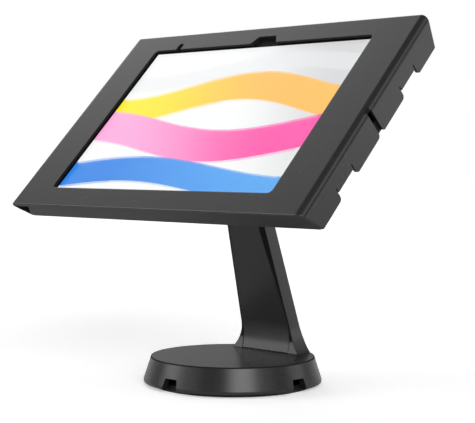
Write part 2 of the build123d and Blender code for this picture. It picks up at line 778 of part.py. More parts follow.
# Rear tray: a plate with stiffening flanges that run along its long edges
with BuildPart() as rear_tray:
    with BuildSketch(spot(panel, out=-tray_rear)):
        RectangleRounded(2 * tray_half_width, 2 * tray_half_height, tray_corner)
        Circle(tray_middle_radius, mode=Mode.SUBTRACT)
        with GridLocations(turn_screw_spacing, turn_screw_spacing, 2, 2):
            Circle(turn_screw_radius + screw_hole_margin, mode=Mode.SUBTRACT)
        with Locations((0, -tray_lead_hole_down)):
            RectangleRounded(tray_lead_hole_width, tray_lead_hole_height, tray_corner, mode=Mode.SUBTRACT)
        with Locations((-lock_offset, 0), (lock_offset, 0)):
            Circle(lock_body_radius + fitted_gap, mode=Mode.SUBTRACT)
        notch_reach = 2 * (catch_gauge + moving_gap)
        with Locations((-tray_half_width, 0), (tray_half_width, 0)):
            Rectangle(notch_reach, catch_width + 2 * moving_gap, mode=Mode.SUBTRACT)
    extrude(amount=tray_gauge)
    flange_length = 2 * (tray_half_width - tray_corner)
    for side in (-1, 1):
        edge_middle = side * (tray_half_height - tray_gauge / 2)
        slab(spot(panel, 0, edge_middle, -tray_rear), flange_length, tray_gauge, -tray_flange_depth)
rear_tray.part.label = "rear_tray"
export_step(rear_tray.part, "parts/rear_tray.step")

with BuildPart() as tray_pads:
    for across in (-tray_pad_offset, tray_pad_offset):
        for up in (-tray_pad_up, tray_pad_up):
            seat = spot(panel, across, up, -tray_front)
            slab(seat, tray_pad_width, tray_pad_depth, tray_pad_height - moving_gap)
tray_pads.part.label = "tray_pads"
export_step(tray_pads.part, "parts/tray_pads.step")

# Front frame: face, tapered top and bottom flanges, upright side walls
inner_wall = frame_width / 2 - sheet
outer_rear = frame_height / 2 - taper_run


def frame_cross(half_width, front, rear, bend):
    """Cross-section of the frame between its side walls, with bent front corners."""
    with BuildSketch() as outline:
        with Locations((0, (front + rear) / 2)):
            Rectangle(2 * half_width, front - rear)
        fillet(vertices().group_by(Axis.Y)[-1], bend)
    return outline.sketch


with BuildPart() as frame_inside:
    inner_front = frame_height / 2 - flange_level_wall - sheet * taper_slope
    inner_rear = frame_height / 2 - flange_level_wall - (frame_depth + overrun) * taper_slope
    with BuildSketch(panel_side):
        Polygon(
            (-inner_front, -sheet),
            (inner_front, -sheet),
            (inner_rear, -frame_depth - overrun),
            (-inner_rear, -frame_depth - overrun),
            align=None,
        )
    extrude(amount=frame_width / 2, both=True)
    with BuildSketch(panel_cross):
        add(frame_cross(inner_wall, -sheet, -frame_depth - 2 * overrun, side_bend - sheet))
    extrude(amount=frame_height / 2, both=True, mode=Mode.INTERSECT)


def camera_notch_outline(margin):
    """Camera notch in the window's upper edge, widened by a margin."""
    edge_up = window_height / 2
    top_up = edge_up + camera_notch_height + margin
    bottom_half = camera_notch_bottom_half + margin
    top_half = camera_notch_top_half + margin
    with BuildSketch() as outline:
        Polygon(
            (camera_notch_offset - bottom_half, edge_up),
            (camera_notch_offset - top_half, top_up),
            (camera_notch_offset + top_half, top_up),
            (camera_notch_offset + bottom_half, edge_up),
            align=None,
        )
        fillet(vertices().group_by(Axis.Y)[-1], camera_notch_round)
        with Locations((camera_notch_offset, edge_up - overrun / 2)):
            Rectangle(2 * bottom_half, overrun)
    return outline.sketch


def sensor_notch_outline(margin):
    """Narrow round-ended notch for a sensor in the window's upper edge."""
    length = 2 * (sensor_notch_height + margin)
    with BuildSketch() as outline:
        with Locations((sensor_notch_offset, window_height / 2)):
            SlotOverall(length, sensor_notch_width + 2 * margin, rotation=quarter_turn)
    return outline.sketch


def wall_corners(all_edges):
    """Edges across the side walls at their rear, at the corners of the tabs."""
    chosen = []
    for edge in all_edges.filter_by(Axis.X):
        place = edge.center() - face_centre
        if edge.length < 2 * sheet and place.dot(normal) < running_gap - frame_depth:
            if abs(place.dot(upward)) < wall_notch_high + relief_width:
                chosen.append(edge)
    return chosen


with BuildPart() as front_frame:
    with BuildSketch(panel_side):
        Polygon(
            (-frame_height / 2, 0),
            (frame_height / 2, 0),
            (outer_rear, -frame_depth),
            (-outer_rear, -frame_depth),
            align=None,
        )
    extrude(amount=frame_width / 2, both=True)
    front_face = faces().sort_by(Axis(face_centre, normal))[-1]
    fillet(front_face.edges().filter_by(Axis.X, reverse=True), side_bend)
    front_face = faces().sort_by(Axis(face_centre, normal))[-1]
    fillet(front_face.edges().filter_by(Axis.X), edge_bend)
    add(frame_inside.part, mode=Mode.SUBTRACT)
    with BuildSketch(panel):
        RectangleRounded(window_width, window_height, window_corner)
        add(camera_notch_outline(0))
        add(sensor_notch_outline(0))
    extrude(amount=-sheet - overrun, mode=Mode.SUBTRACT)
    # Notches, relief slits and the middle slot of the side walls
    notch_middle = (wall_notch_low + wall_notch_high) / 2
    notch_length = wall_notch_high - wall_notch_low
    notch_reach = frame_depth - wall_notch_floor + overrun
    relief_reach = notch_reach + relief_depth
    slot_reach = frame_depth - slot_start + overrun
    rear_limit = -frame_depth - overrun
    with BuildSketch(panel_side):
        for side in (-1, 1):
            with Locations((side * notch_middle - wall_notch_drop, rear_limit + notch_reach / 2)):
                Rectangle(notch_length, notch_reach)
            for end in (wall_notch_low + relief_width / 2, wall_notch_high - relief_width / 2):
                with Locations((side * end - wall_notch_drop, rear_limit + relief_reach / 2)):
                    Rectangle(relief_width, relief_reach)
        with Locations((0, rear_limit + slot_reach / 2)):
            Rectangle(slot_width, slot_reach)
    extrude(amount=frame_width / 2 + overrun, both=True, mode=Mode.SUBTRACT)
    # Seams between the flanges' ends and the side walls
    seam_length = frame_depth + overrun - seam_start
    for side in (-1, 1):
        for end in (-1, 1):
            seam_across = side * (inner_wall - seam_width / 2)
            seam_up = end * (rear_opening_half + frame_height / 2) / 2
            seam_place = spot(panel, seam_across, seam_up, -seam_start)
            seam_height = frame_height / 2 - rear_opening_half + overrun
            slab(seam_place, seam_width, seam_height, -seam_length, mode=Mode.SUBTRACT)
    # Rounded corners of the walls' tabs
    fillet(wall_corners(edges()), tab_round)
    # Rounded corners of the walls' ends
    setback = wall_end_round / tan(radians(quarter_turn + flange_taper) / 2)
    round_middle = Vector(outer_rear - setback, wall_end_round - frame_depth)
    reach = wall_end_round + overrun
    lean = radians(flange_taper)
    for side in (-1, 1):
        wall_side = panel_side.offset(side * (inner_wall - seam_width / 2))
        with BuildSketch(wall_side):
            Polygon(
                (round_middle.X, round_middle.Y),
                (round_middle.X, round_middle.Y - reach),
                (outer_rear + overrun, -frame_depth - overrun),
                (round_middle.X + reach * cos(lean), round_middle.Y - reach * sin(lean)),
                align=None,
            )
            with Locations((round_middle.X, round_middle.Y)):
                Circle(wall_end_round, mode=Mode.SUBTRACT)
            mirror(about=Plane.YZ)
        extrude(amount=side * (sheet + overrun), mode=Mode.SUBTRACT)
    # Open corner between the lower flange and the left wall
    with BuildSketch(panel_cross.offset(frame_height / 2 + overrun)):
        Polygon(
            (-inner_wall, -corner_gap_start),
            (-inner_wall + corner_gap_length, -corner_gap_start),
            (-inner_wall, -corner_gap_end),
            align=None,
        )
    extrude(amount=-(taper_run + sheet + 2 * overrun), mode=Mode.SUBTRACT)
front_frame.part.label = "front_frame"
export_step(front_frame.part, "parts/front_frame.step")

# Foam gasket between the frame's face and the tablet's glass
with BuildPart() as front_gasket:
    with BuildSketch(spot(panel, out=-glass_face)):
        gasket_width = tablet_width - 2 * gasket_edge_inset
        gasket_height = tablet_height - 2 * gasket_edge_inset
        RectangleRounded(gasket_width, gasket_height, tablet_corner - gasket_edge_inset)
        hole_width = window_width + 2 * gasket_window_margin
        hole_height = window_height + 2 * gasket_window_margin
        RectangleRounded(hole_width, hole_height, window_corner, mode=Mode.SUBTRACT)
        add(camera_notch_outline(gasket_notch_margin), mode=Mode.SUBTRACT)
        add(sensor_notch_outline(gasket_notch_margin), mode=Mode.SUBTRACT)
    extrude(amount=gasket_thickness)
front_gasket.part.label = "front_gasket"
export_step(front_gasket.part, "parts/front_gasket.step")

# Catches inside the side walls, behind the middle slot
with BuildPart() as frame_catches:
    for side in (-1, 1):
        leg_length = frame_depth - catch_tail - lip_front
        leg_middle = side * (inner_wall - catch_gauge / 2)
        slab(spot(panel, leg_middle, 0, -lip_front), catch_gauge, catch_width, -leg_length)
        lip_middle = side * (inner_wall - catch_reach / 2)
        slab(spot(panel, lip_middle, 0, -lip_front), catch_reach, catch_width, -catch_gauge)
frame_catches.part.label = "frame_catches"
export_step(frame_catches.part, "parts/frame_catches.step")

# Brackets, studs and nuts that hold the tablet against the gasket
with BuildPart() as tablet_brackets:
    for side in (-1, 1):
        riser_middle = side * (tablet_width / 2 + bracket_clear + bracket_gauge / 2)
        arm_rear = tablet_back + bracket_face_gap + bracket_gauge
        arm_length = bracket_arm + bracket_clear + bracket_gauge
        arm_middle = side * (tablet_width / 2 - bracket_arm + arm_length / 2)
        for up in (-bracket_up, bracket_up):
            foot = spot(panel, side * stud_across, up, -sheet)
            slab(foot, bracket_foot_length, bracket_width, -bracket_gauge)
            slab(spot(panel, riser_middle, up, -sheet), bracket_gauge, bracket_width, sheet - arm_rear)
            slab(spot(panel, arm_middle, up, -arm_rear), arm_length, bracket_width, bracket_gauge)
            post(foot, stud_radius + screw_hole_margin, -bracket_gauge, mode=Mode.SUBTRACT)
tablet_brackets.part.label = "tablet_brackets"
export_step(tablet_brackets.part, "parts/tablet_brackets.step")

with BuildPart() as bracket_studs:
    for side in (-1, 1):
        for up in (-bracket_up, bracket_up):
            post(spot(panel, side * stud_across, up, -sheet), stud_radius, -stud_length)
bracket_studs.part.label = "bracket_studs"
export_step(bracket_studs.part, "parts/bracket_studs.step")

with BuildPart() as bracket_nuts:
    for side in (-1, 1):
        for up in (-bracket_up, bracket_up):
            seat = spot(panel, side * stud_across, up, -sheet - bracket_gauge)
            nut(seat, stud_nut_radius, stud_radius + thread_gap, -stud_nut_height)
bracket_nuts.part.label = "bracket_nuts"
export_step(bracket_nuts.part, "parts/bracket_nuts.step")

# Cam locks: housings and nuts stay with the tray, plugs and cams turn
housing_front = cam_rear + 2 * face_gap
with BuildPart() as lock_housings:
    for side in (-1, 1):
        collar_rear = tray_rear + lock_collar_height
        place = spot(panel, side * lock_offset, 0, -collar_rear)
        post(place, lock_collar_radius, lock_collar_height)
        post(place, lock_body_radius, collar_rear - housing_front)
        post(place, lock_plug_radius + running_gap, collar_rear, mode=Mode.SUBTRACT)
lock_housings.part.label = "lock_housings"
export_step(lock_housings.part, "parts/lock_housings.step")

with BuildPart() as lock_nuts:
    for side in (-1, 1):
        seat = spot(panel, side * lock_offset, 0, -tray_front)
        nut(seat, lock_nut_radius, lock_body_radius + thread_gap, lock_nut_height - face_gap)
lock_nuts.part.label = "lock_nuts"
export_step(lock_nuts.part, "parts/lock_nuts.step")

plug_rear = tray_rear + lock_collar_height - lock_plug_recess
for side_name, side in (("left", -1), ("right", 1)):
    with BuildPart() as lock_plug:
        place = spot(panel, side * lock_offset, 0, -plug_rear)
        post(place, lock_plug_radius, plug_rear - cam_rear)
        slab(place, key_slot_width, key_slot_length, key_slot_depth, mode=Mode.SUBTRACT)
        top = spot(panel, side * lock_offset, 0, -cam_rear)
        post(top, cam_screw_radius + thread_gap, -cam_screw_length, mode=Mode.SUBTRACT)
    lock_plug.part.label = side_name + "_lock_plug"
    export_step(lock_plug.part, "parts/" + side_name + "_lock_plug.step")

    with BuildPart() as lock_cam:
        seat = spot(panel, side * lock_offset, 0, -cam_rear)
        with BuildSketch(seat):
            Circle(cam_width / 2)
            with Locations((0, cam_length / 2)):
                Rectangle(cam_width, cam_length)
            Circle(cam_screw_radius + screw_hole_margin, mode=Mode.SUBTRACT)
        extrude(amount=cam_gauge)
    lock_cam.part.label = side_name + "_lock_cam"
    export_step(lock_cam.part, "parts/" + side_name + "_lock_cam.step")

    with BuildPart() as cam_screw:
        seat = spot(panel, side * lock_offset, 0, -cam_front)
        post(seat, cam_screw_head_radius, cam_screw_head_height)
        post(seat, cam_screw_radius, -cam_gauge - cam_screw_length + thread_gap)
        with BuildSketch(seat.offset(cam_screw_head_height)):
            RegularPolygon(cam_screw_radius, 6)
        extrude(amount=-cam_screw_socket_depth, mode=Mode.SUBTRACT)
    cam_screw.part.label = side_name + "_cam_screw"
    export_step(cam_screw.part, "parts/" + side_name + "_cam_screw.step")

# Tablet: shell, glass, display and what lies inside
glass_back = glass_face + glass_thickness
shell_front = glass_face + glass_sink
floor_front = tablet_back - shell_floor
display_back = glass_back + display_thickness
button_middle = (shell_front + tablet_back) / 2


def button_places():
    """Name, middle of the outer face and inward direction of each button."""
    side_middle = (-tablet_width / 2 - button_proud, power_button_up)
    top_up = tablet_height / 2 + button_proud
    half_step = volume_button_spacing / 2
    yield "power_button", side_middle, (1, 0), power_button_length
    yield "volume_up_button", (-volume_button_offset - half_step, top_up), (0, -1), volume_button_length
    yield "volume_down_button", (-volume_button_offset + half_step, top_up), (0, -1), volume_button_length


def button_block(place, inward, length, start, reach, margin, mode=Mode.ADD):
    """A block set into the tablet's edge, from start inwards, with a margin round it."""
    centre_run = start + reach / 2
    across = place[0] + inward[0] * centre_run
    up = place[1] + inward[1] * centre_run
    along = length + 2 * margin
    size_across = reach if inward[0] else along
    size_up = along if inward[0] else reach
    height = button_height + 2 * margin
    slab(spot(panel, across, up, -button_middle - height / 2), size_across, size_up, height, mode=mode)


with BuildPart() as tablet_shell:
    with BuildSketch(spot(panel, out=-tablet_back)):
        RectangleRounded(tablet_width, tablet_height, tablet_corner)
    extrude(amount=tablet_back - shell_front)
    back_face = faces().sort_by(Axis(face_centre, normal))[0]
    chamfer(back_face.edges(), shell_floor)
    with BuildSketch(spot(panel, out=-floor_front)):
        inner_corner = tablet_corner - shell_wall
        RectangleRounded(tablet_width - 2 * shell_wall, tablet_height - 2 * shell_wall, inner_corner)
    extrude(amount=tablet_back, mode=Mode.SUBTRACT)
    with BuildSketch(spot(panel, out=-glass_back)):
        lip_corner = tablet_corner - shell_lip
        RectangleRounded(tablet_width - 2 * shell_lip, tablet_height - 2 * shell_lip, lip_corner)
    extrude(amount=glass_back, mode=Mode.SUBTRACT)
    for name, place, inward, length in button_places():
        start = button_proud - overrun
        reach = button_depth + button_travel + moving_gap - start
        button_block(place, inward, length, start, reach, moving_gap, mode=Mode.SUBTRACT)
tablet_shell.part.label = "tablet_shell"
export_step(tablet_shell.part, "parts/tablet_shell.step")

with BuildPart() as tablet_glass:
    with BuildSketch(spot(panel, out=-glass_back)):
        inset = shell_lip + fitted_gap
        RectangleRounded(tablet_width - 2 * inset, tablet_height - 2 * inset, tablet_corner - inset)
    extrude(amount=glass_thickness)
tablet_glass.part.label = "tablet_glass"
export_step(tablet_glass.part, "parts/tablet_glass.step")

with BuildPart() as tablet_display:
    slab(spot(panel, out=-display_back), display_width, display_height, display_thickness)
tablet_display.part.label = "tablet_display"
export_step(tablet_display.part, "parts/tablet_display.step")

with BuildPart() as tablet_battery:
    for side in (-1, 1):
        seat = spot(panel, side * battery_spacing / 2, 0, -floor_front)
        slab(seat, battery_width, battery_height, battery_thickness)
tablet_battery.part.label = "tablet_battery"
export_step(tablet_battery.part, "parts/tablet_battery.step")

with BuildPart() as tablet_board:
    slab(spot(panel, board_offset, 0, -floor_front), board_width, board_height, board_thickness)
tablet_board.part.label = "tablet_board"
export_step(tablet_board.part, "parts/tablet_board.step")

with BuildPart() as tablet_camera:
    post(spot(panel, camera_notch_offset, camera_up, -glass_back), camera_radius, -camera_length)
tablet_camera.part.label = "tablet_camera"
export_step(tablet_camera.part, "parts/tablet_camera.step")

for name, place, inward, length in button_places():
    with BuildPart() as button:
        button_block(place, inward, length, 0, button_depth, 0)
    button.part.label = name
    export_step(button.part, "parts/" + name + ".step")
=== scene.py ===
import math

import bmesh
import bpy
from mathutils import Matrix, Vector

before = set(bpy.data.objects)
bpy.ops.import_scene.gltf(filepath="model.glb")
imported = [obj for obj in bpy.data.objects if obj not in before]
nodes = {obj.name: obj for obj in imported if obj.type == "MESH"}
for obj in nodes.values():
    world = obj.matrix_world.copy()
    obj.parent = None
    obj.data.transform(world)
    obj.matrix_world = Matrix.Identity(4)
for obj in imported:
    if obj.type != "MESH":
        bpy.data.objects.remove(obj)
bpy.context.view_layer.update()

# All lengths are in metres. The panel's own directions: across the screen, up it and out of it
ELEVATION = math.radians(44.55)
OUT = Vector((0.0, -math.cos(ELEVATION), math.sin(ELEVATION)))
UP = Vector((0.0, math.sin(ELEVATION), math.cos(ELEVATION)))
ACROSS = Vector((1.0, 0.0, 0.0))
TILT_AXIS = Vector((0.0, 0.0015, 0.1764))
FACE_FROM_AXIS = 0.044
CENTRE = TILT_AXIS + OUT * FACE_FROM_AXIS

# Camera
CAMERA_PLACE = (0.69763, -0.74276, 0.17166)
HEADING = math.radians(43.029)
PITCH = math.radians(2.171)
ROLL = math.radians(-0.275)
FOCAL_PIXELS = 1323.84
PICTURE_WIDTH = 475.0
SENSOR_WIDTH = 36.0
NEAR_CLIP, FAR_CLIP = 0.01, 50.0

# Places on the front frame and the tablet that the materials tell apart
# The frame's window and middle slots, whose cut edges get painted shade
FACE_SKIN = 0.00012
WINDOW_EDGE_ACROSS = 0.1146
WINDOW_EDGE_UP = 0.0880
SLOT_EDGE_UP = 0.00254
SLOT_FROM_ACROSS = 0.1490
GLASS_CLEAR_ACROSS = 0.1135
GLASS_CLEAR_UP = 0.07885
PRINT_SOFTNESS = 0.00015

# Places on the stand that the materials tell apart, where the stand gets painted shade
RIM_RADIUS = 0.0687
RIM_TOP = 0.0048
FLANK_SKIN = 0.0009
FLANK_SLOPE = 0.3275
BASE_UNDER_TOP = 0.0200
TOP_EDGE_RADIUS = 0.0632
TOP_EDGE_HEIGHT = 0.0217
TOP_SHADE_WIDTH = 0.0012
NECK_FOOT = 0.0310
NECK_COVER_TOP = 0.1550
LIP_FACING = -0.35

# Rounded edges, and how thick the bumps of each kind of surface are
COAT_EDGE = 0.0006
METAL_EDGE = 0.0003
METAL_RUBBED_EDGE = 0.0004
DULL_EDGE = 0.0005
COAT_GRAIN_DEPTH = 0.00004
METAL_MARK_DEPTH = 0.0003
DULL_CELL_DEPTH = 0.0004
CHIP_DEPTH = 0.0004

# Coat
COAT_GREY = (0.0215, 0.0215, 0.0215)
COAT_ROUGH = 0.27
CLOUD_TONE = 0.14
GRAIN_TONE = 0.12
GRAIN_BUMP = 0.025
ROUGH_SWING = 0.015
DUST_COVER = 0.02
RUBBED_SHINE = 0.25
# Painted shade: near-black and rough, for dark lines along edges and seams and for shaded recesses
PAINTED_SHADE_BLACK = (0.002, 0.002, 0.002)
PAINTED_SHADE_ROUGH = 0.9
FACING_DOWN_FROM, FACING_DOWN_FULL = -0.5, -0.85
FACING_DOWN_ROUGH = 0.58

# A noise keeps mostly between these values
NOISE_LOW, NOISE_HIGH = 0.3, 0.7

# Screen colours, each pair from the left to the right
GROUND_WHITE, GROUND_SHADED = (0.93, 0.93, 0.935), (0.66, 0.665, 0.67)
PALE_GREY = (0.80, 0.81, 0.83)
YELLOW, ORANGE = (0.99, 0.84, 0.04), (1.0, 0.52, 0.10)
PALE_PINK, DEEP_PINK = (1.0, 0.42, 0.72), (0.98, 0.08, 0.40)
DEEP_BLUE, PALE_BLUE = (0.03, 0.24, 0.78), (0.08, 0.38, 0.88)
SLANT = 0.6

# Glass
GLASS_TINT = (0.985, 0.99, 0.99, 1.0)
GLASS_IOR = 1.42
GLASS_GLOSS = 0.10
BORDER_DARK, BORDER_LIGHT = (0.004, 0.004, 0.0045), (0.008, 0.008, 0.009)

# Floor and world. Soft boxes are given in degrees
WHITE_LIGHT = (1.0, 1.0, 1.0, 1.0)
FLOOR_HALF_SIZE = 12.0
FLOOR_PAINT = (0.90, 0.90, 0.90, 1.0)
FLOOR_GLOW = 0.42
HORIZON_HEIGHT, CEILING_HEIGHT = 0.06, 0.20
HORIZON_LEVEL, CEILING_LEVEL = 0.64, 0.11
BOX_CORE = 4.0
BOX_REACH = 22.0


def add_camera():
    level = math.cos(PITCH)
    forward = Vector((-math.sin(HEADING) * level, math.cos(HEADING) * level, -math.sin(PITCH)))
    right = Vector((math.cos(HEADING), math.sin(HEADING), 0.0))
    down = forward.cross(right)
    turned_right = right * math.cos(ROLL) + down * math.sin(ROLL)
    turned_down = down * math.cos(ROLL) - right * math.sin(ROLL)
    data = bpy.data.cameras.new("camera")
    data.sensor_fit = "HORIZONTAL"
    data.sensor_width = SENSOR_WIDTH
    data.lens = FOCAL_PIXELS / PICTURE_WIDTH * SENSOR_WIDTH
    data.clip_start = NEAR_CLIP
    data.clip_end = FAR_CLIP
    camera = bpy.data.objects.new("camera", data)
    bpy.context.scene.collection.objects.link(camera)
    rows = Matrix((turned_right, -turned_down, -forward)).transposed()
    camera.matrix_world = Matrix.Translation(CAMERA_PLACE) @ rows.to_4x4()
    bpy.context.scene.camera = camera


add_camera()


# Node helpers

class Tree:
    """Short calls for building one node tree."""

    def __init__(self, tree):
        self.tree = tree
        tree.nodes.clear()

    def add(self, kind, settings=None, **inputs):
        """A new node. An input goes by its name, with _ for a space, or by its place as i0, i1."""
        node = self.tree.nodes.new(kind)
        for name, value in (settings or {}).items():
            setattr(node, name, value)
        for name, value in inputs.items():
            by_place = name[0] == "i" and name[1:].isdigit()
            key = int(name[1:]) if by_place else name.replace("_", " ")
            self.set(node.inputs[key], value)
        return node

    def set(self, socket, value):
        if isinstance(value, bpy.types.Node):
            value = value.outputs[0]
        if isinstance(value, bpy.types.NodeSocket):
            self.tree.links.new(value, socket)
        else:
            socket.default_value = value

    def math(self, operation, a, b=None, c=None):
        node = self.tree.nodes.new("ShaderNodeMath")
        node.operation = operation
        for socket, value in zip(node.inputs, (a, b, c)):
            if value is not None:
                self.set(socket, value)
        return node.outputs[0]

    def vector(self, operation, a, b=None):
        node = self.tree.nodes.new("ShaderNodeVectorMath")
        node.operation = operation
        self.set(node.inputs[0], a)
        if b is not None:
            self.set(node.inputs[1], b)
        return node.outputs["Value"] if operation == "DOT_PRODUCT" else node.outputs[0]

    def scaled(self, colour, amount):
        out = self.vector("SCALE", colour)
        self.set(out.node.inputs["Scale"], amount)
        return out

    def spread(self, value, low, high, out_low, out_high, kind="LINEAR"):
        """Takes low..high to out_low..out_high."""
        node = self.tree.nodes.new("ShaderNodeMapRange")
        node.interpolation_type = kind
        for socket, item in zip(node.inputs, (value, low, high, out_low, out_high)):
            self.set(socket, item)
        return node.outputs[0]

    def smooth(self, value, low, high, out_low=0.0, out_high=1.0):
        """As spread, with a soft start and end."""
        return self.spread(value, low, high, out_low, out_high, "SMOOTHSTEP")

    def vary(self, noise, low, high):
        """Between low and high, following a noise."""
        return self.spread(noise, NOISE_LOW, NOISE_HIGH, low, high)

    def mix(self, factor, a, b):
        node = self.tree.nodes.new("ShaderNodeMix")
        node.data_type = "RGBA"
        self.set(node.inputs[0], factor)
        for socket, value in ((node.inputs[6], a), (node.inputs[7], b)):
            if isinstance(value, tuple):
                value = (*value, 1.0)
            self.set(socket, value)
        return node.outputs[2]

    def place(self):
        return self.add("ShaderNodeTexCoord").outputs["Object"]

    def noise(self, where, scale, detail, rough):
        kind = "ShaderNodeTexNoise"
        return self.add(kind, Vector=where, Scale=scale, Detail=detail, Roughness=rough).outputs[0]

    def split(self, vector):
        return self.add("ShaderNodeSeparateXYZ", Vector=vector).outputs

    def surface(self, colour, rough, **more):
        return self.add("ShaderNodeBsdfPrincipled", Base_Color=colour, Roughness=rough, **more)

    def finish(self, shader):
        self.add("ShaderNodeOutputMaterial", Surface=shader.outputs[0])


def material(name):
    made = bpy.data.materials.new(name)
    made.use_nodes = True
    return made, Tree(made.node_tree)


def toned(colour, gain, lift=0.0):
    return tuple(min(1.0, c * gain + lift) for c in colour)


def edge_mask(t, radius, low=0.03, high=0.45):
    """White along edges, from how far a rounded normal turns from the true one."""
    bevel = t.add("ShaderNodeBevel", {"samples": 6}, Radius=radius)
    geometry = t.add("ShaderNodeNewGeometry")
    facing = t.vector("DOT_PRODUCT", bevel.outputs[0], geometry.outputs["Normal"])
    return t.smooth(t.math("SUBTRACT", 1.0, facing), low, high)


# Materials

def coat(name, colour=COAT_GREY, rough=COAT_ROUGH, specular=0.35, wear=0.06, line=0.0, painted_shade_mask=None):
    """Satin coat: fine grain, slow tone changes, rubbed edges, painted shade as dark lines along
    edges, dust on it.

    It is painted black, as painted shade, where the given shade function gives 1.
    """
    made, t = material(name)
    where = t.place()
    slow = t.noise(where, scale=22.0, detail=9.0, rough=0.72)
    middle = t.noise(where, scale=160.0, detail=3.0, rough=0.6)
    fine = t.noise(where, scale=2400.0, detail=2.0, rough=0.6)
    specks = t.noise(where, scale=520.0, detail=1.0, rough=0.4)
    rubbed = t.math("MULTIPLY", edge_mask(t, COAT_EDGE), t.smooth(middle, 0.42, 0.68))
    rubbed = t.math("MULTIPLY", rubbed, wear)
    dusty = t.math("MULTIPLY", t.smooth(specks, 0.60, 0.85), DUST_COVER)
    # Painted shade: dark lines along edges and seams at the strength that line gives, and black
    # where the shade function marks shaded recesses
    black = t.math("MULTIPLY", edge_mask(t, 2.0 * COAT_EDGE, 0.02, 0.14), line)
    if painted_shade_mask:
        black = t.math("MAXIMUM", black, painted_shade_mask(t))

    tone = t.spread(slow, 0.0, 1.0, 1.0 - CLOUD_TONE, 1.0 + CLOUD_TONE)
    grain = t.spread(fine, 0.0, 1.0, 1.0 - GRAIN_TONE, 1.0 + GRAIN_TONE)
    body = t.scaled(colour, t.math("MULTIPLY", tone, grain))
    body = t.mix(rubbed, body, toned(colour, 3.2, 0.02))
    body = t.mix(dusty, body, toned(colour, 2.2))
    body = t.mix(black, body, PAINTED_SHADE_BLACK)

    roughness = t.spread(slow, 0.0, 1.0, rough - ROUGH_SWING, rough + ROUGH_SWING)
    roughness = t.math("SUBTRACT", roughness, t.math("MULTIPLY", rubbed, RUBBED_SHINE))
    facing = t.split(t.add("ShaderNodeNewGeometry").outputs["Normal"])[2]
    below = t.smooth(facing, FACING_DOWN_FROM, FACING_DOWN_FULL, 0.0, FACING_DOWN_ROUGH)
    roughness = t.math("MAXIMUM", roughness, below)
    roughness = t.math("MAXIMUM", roughness, t.math("MULTIPLY", black, PAINTED_SHADE_ROUGH))

    rounded = t.add("ShaderNodeBevel", {"samples": 6}, Radius=COAT_EDGE)
    bump = {"Strength": GRAIN_BUMP, "Distance": COAT_GRAIN_DEPTH, "Height": fine, "Normal": rounded}
    shader = t.surface(body, roughness, Normal=t.add("ShaderNodeBump", **bump))
    shader.inputs["Specular IOR Level"].default_value = specular
    t.finish(shader)
    return made


def metal(name, colour, rough, grain=0.05, tarnish=0.25):
    """Bare or plated metal with fine marks, uneven tarnish and bright edges."""
    made, t = material(name)
    where = t.place()
    marks = t.noise(where, scale=900.0, detail=3.0, rough=0.65)
    cloud = t.noise(where, scale=70.0, detail=4.0, rough=0.6)
    edges = t.math("MULTIPLY", edge_mask(t, METAL_RUBBED_EDGE), 0.5)
    body = t.mix(t.smooth(cloud, 0.35, 0.7), colour, toned(colour, 1.0 - tarnish))
    body = t.mix(edges, body, toned(colour, 1.25, 0.03))
    roughness = t.vary(marks, rough - 0.06, rough + 0.08)
    rounded = t.add("ShaderNodeBevel", {"samples": 4}, Radius=METAL_EDGE)
    bump = {"Strength": grain, "Distance": METAL_MARK_DEPTH, "Height": marks, "Normal": rounded}
    t.finish(t.surface(body, roughness, Metallic=1.0, Normal=t.add("ShaderNodeBump", **bump)))
    return made


def dull(name, colour, rough, grain=0.3, scale=900.0, uneven=0.2, dust=0.0):
    """Rubber, foam and moulded plastic: cell or mould texture, uneven tone, paler dust on top."""
    made, t = material(name)
    where = t.place()
    cells = t.noise(where, scale, detail=2.0, rough=0.6)
    cloud = t.noise(where, scale=60.0, detail=3.0, rough=0.55)
    edges = t.math("MULTIPLY", edge_mask(t, DULL_EDGE), 0.35)
    body = t.scaled(colour, t.vary(cloud, 1.0 - uneven, 1.0 + uneven))
    body = t.mix(edges, body, toned(colour, 1.8, 0.01))
    body = t.mix(t.math("MULTIPLY", t.smooth(cells, 0.5, 0.75), dust), body, (0.3, 0.3, 0.3))
    roughness = t.vary(cells, rough - 0.06, min(1.0, rough + 0.06))
    bump = t.add("ShaderNodeBump", Strength=grain, Distance=DULL_CELL_DEPTH, Height=cells)
    t.finish(t.surface(body, roughness, Normal=bump))
    return made


def panel_place(t):
    """Distances across, up and out of the panel, from the middle of its front face."""
    from_middle = t.vector("SUBTRACT", t.place(), tuple(CENTRE))
    return [t.vector("DOT_PRODUCT", from_middle, tuple(way)) for way in (ACROSS, UP, OUT)]


def frame_cut_edge_shade(t):
    """Painted shade on the sheet's cut edge round the window and in the middle slots."""
    across, up, out = panel_place(t)
    wide, high = t.math("ABSOLUTE", across), t.math("ABSOLUTE", up)
    behind_face = t.math("LESS_THAN", out, -FACE_SKIN)
    in_window = t.math("LESS_THAN", wide, WINDOW_EDGE_ACROSS)
    in_window = t.math("MULTIPLY", in_window, t.math("LESS_THAN", high, WINDOW_EDGE_UP))
    in_slot = t.math("LESS_THAN", high, SLOT_EDGE_UP)
    in_slot = t.math("MULTIPLY", in_slot, t.math("GREATER_THAN", wide, SLOT_FROM_ACROSS))
    return t.math("MAXIMUM", t.math("MULTIPLY", behind_face, in_window), in_slot)


